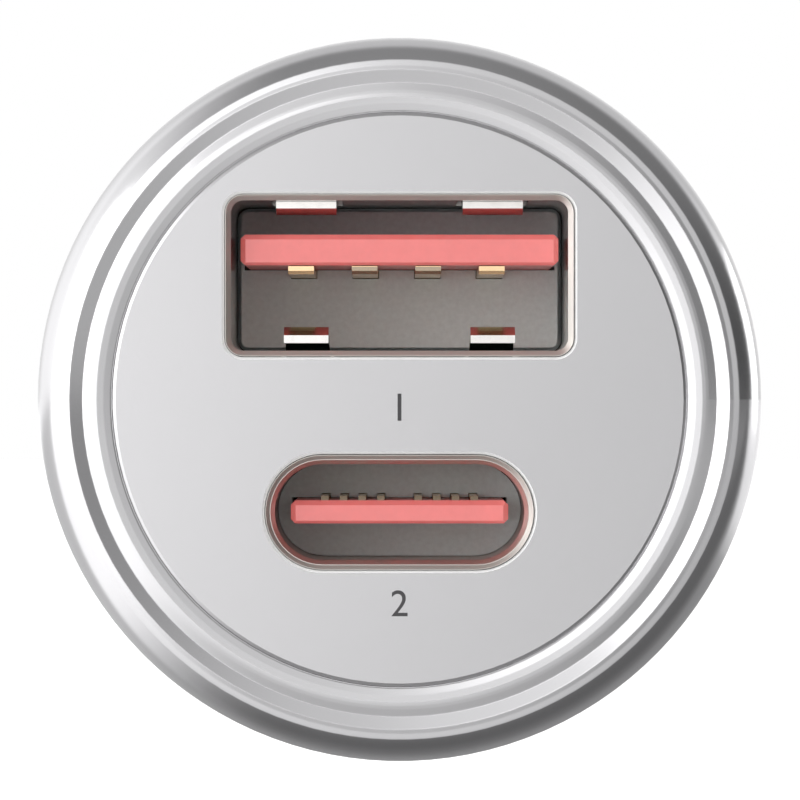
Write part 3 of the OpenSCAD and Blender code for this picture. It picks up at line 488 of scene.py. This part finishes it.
ink, nodes, links, shader, place = start_material("ink", INK, 0.0, 0.5)
dots = grain(nodes, links, place, 12000, 2)
links.new(tint(nodes, links, dots, shade(INK, 0.85), INK), shader.inputs["Base Color"])
for digit, middle_z, height in (("1", -0.000275, 0.00104), ("2", -0.00728, 0.00098)):
    bpy.ops.object.select_all(action="DESELECT")
    bpy.ops.object.text_add(location=(0, 0, 0))
    mark = bpy.context.object
    mark.data.body = digit
    mark.data.size = height / CAPITAL_SHARE
    mark.data.align_x = "CENTER"
    mark.data.resolution_u = 12
    mark.data.extrude = INK_T
    bpy.ops.object.convert(target="MESH")
    mark = bpy.context.object
    mark.name = "mark_" + digit
    low = Vector(min(v.co[i] for v in mark.data.vertices) for i in range(3))
    high = Vector(max(v.co[i] for v in mark.data.vertices) for i in range(3))
    middle = (low + high) / 2
    bpy.ops.object.mode_set(mode="EDIT")
    bpy.ops.mesh.select_all(action="SELECT")
    bpy.ops.mesh.remove_doubles(threshold=INK_T / 100)
    bpy.ops.object.mode_set(mode="OBJECT")
    mark.location = (-middle.x, FACE_Y, middle_z - middle.y)
    mark.rotation_euler = (math.radians(90), 0, 0)
    bpy.ops.object.transform_apply(location=True, rotation=True, scale=True)
    mark.data.materials.append(ink)
    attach(mark, "plug_body")


# Floor: well below the plug, with its far part out of sight of the camera.
# It keeps the plug's soft shadow. Its colour is painted shade for the head's rounded edge to mirror:
# pale ahead of the edge and on the left, darker to the right and under the barrel.
# Its open parts glow white in mirrors.
FLOOR_Z = -0.03
FLOOR_SIZE = 6.0
FLOOR_PALE = (0.8, 0.8, 0.8, 1)
FLOOR_GLOW = 0.85
EDGE_SHARE = 0.6

bpy.ops.object.select_all(action="DESELECT")
bpy.ops.mesh.primitive_plane_add(size=FLOOR_SIZE, location=(0, 0, 0))
floor = bpy.context.object
floor.name = "floor"
bpy.ops.object.mode_set(mode="EDIT")
bpy.ops.mesh.subdivide(number_cuts=3)
bpy.ops.object.mode_set(mode="OBJECT")
floor.location = (0, 0, FLOOR_Z)
bpy.ops.object.transform_apply(location=True, rotation=True, scale=True)


def show_white(nodes, links, share):
    """1 for the camera's rays, and a share of it for reflected and refracted ones."""
    rays = nodes.new("ShaderNodeLightPath").outputs
    bounced = combine(nodes, links, "MAXIMUM", rays["Is Glossy Ray"], rays["Is Transmission Ray"])
    return combine(nodes, links, "MAXIMUM", rays["Is Camera Ray"],
                   combine(nodes, links, "MULTIPLY", bounced, share))


floor_paint, nodes, links, shader, place = start_material("floor_paint", FLOOR_PALE, 0.0, 0.7)
across, along, up = split(nodes, links, place)
# Painted shade: the floor's colour is darker under the barrel and to the right, and paler ahead and on
# the left.
under = slope(nodes, links, along, -0.01, 0.014, 0.2, 0.45)
under = slope(nodes, links, across, -0.04, -0.01, 0.9, under)
ahead = slope(nodes, links, across, 0.0, 0.04, 0.92, 0.55)
cone = combine(nodes, links, "MULTIPLY", distance(nodes, links, across, up), EDGE_SHARE)
past_edge = combine(nodes, links, "ADD", along, cone)
links.new(slope(nodes, links, past_edge, -0.006, 0.006, ahead, under), shader.inputs["Base Color"])

open_far = slope(nodes, links, along, 0.15, 0.6, 0.0, 1.0)
open_near = slope(nodes, links, along, -0.075, -0.035, 0.2, 0.0)
open_left = combine(nodes, links, "MULTIPLY", slope(nodes, links, across, -0.05, -0.012, 1.0, 0.0),
                    slope(nodes, links, along, -0.004, 0.008, 1.0, 0.0))
open_right = combine(nodes, links, "MULTIPLY", slope(nodes, links, across, 0.05, 0.09, 0.0, 0.9),
                     slope(nodes, links, along, 0.005, 0.03, 0.0, 1.0))
glow = open_far
for part in (open_near, open_left, open_right):
    glow = combine(nodes, links, "MAXIMUM", glow, part)
white = show_white(nodes, links, glow)
links.new(combine(nodes, links, "MULTIPLY", white, FLOOR_GLOW), shader.inputs["Emission Strength"])
shader.inputs["Emission Color"].default_value = (1, 1, 1, 1)
floor.data.materials.append(floor_paint)


# Light: two soft lamps on the left, a weaker one behind the plug on the right, and a pale room.
# The room is bright on the left, dark on the right and above, and pale behind the plug.
def add_lamp(name, stand, aim, side, power):
    """A soft square lamp, turned to what it lights."""
    data = bpy.data.lights.new(name, "AREA")
    data.size = side
    data.energy = power
    lamp = bpy.data.objects.new(name, data)
    lamp.location = stand
    lamp.rotation_euler = (Vector(aim) - Vector(stand)).to_track_quat("-Z", "Y").to_euler()
    bpy.context.scene.collection.objects.link(lamp)


add_lamp("left_lamp", (-0.5, -0.3, 0.12), (0, 0, 0), 0.5, 1.3)
add_lamp("front_lamp", (-0.27, -0.6, 0.08), (0, 0, 0), 0.5, 0.62)
add_lamp("right_lamp", (0.5, 0.25, 0.05), (0, 0.01, 0), 0.3, 0.5)

world = bpy.data.worlds.new("studio")
world.use_nodes = True
bpy.context.scene.world = world
nodes = world.node_tree.nodes
links = world.node_tree.links
direction = split(nodes, links, nodes.new("ShaderNodeTexCoord").outputs["Generated"])


def fade(axis, start, end, first, last):
    """A strength that changes smoothly between two places on one axis of the room."""
    return slope(nodes, links, direction[axis], start, end, first, last)


front_left = fade("X", -0.7, -0.1, 1.4, 1.08)
front_right = fade("X", 0.12, 0.7, 0.88, 0.37)
front = fade("X", -0.08, 0.08, front_left, front_right)
side_right = fade("X", 0.0, 0.8, 0.36, fade("Z", 0.1, 0.7, 0.1, 0.26))
side = fade("X", -1.05, -0.3, 1.6, side_right)
back = fade("X", -0.9, -0.2, 1.5, fade("X", 0.65, 0.92, 0.79, 1.3))
room = fade("Y", 0.1, 0.4, fade("Y", -0.68, -0.42, front, side), back)
white = show_white(nodes, links, fade("Y", 0.7, 0.95, 0.0, 1.0))
seen = nodes.new("ShaderNodeMix")
seen.inputs["B"].default_value = 1.0
links.new(white, seen.inputs["Factor"])
links.new(room, seen.inputs["A"])
links.new(seen.outputs["Result"], nodes["Background"].inputs["Strength"])
nodes["Background"].inputs["Color"].default_value = (1, 1, 1, 1)
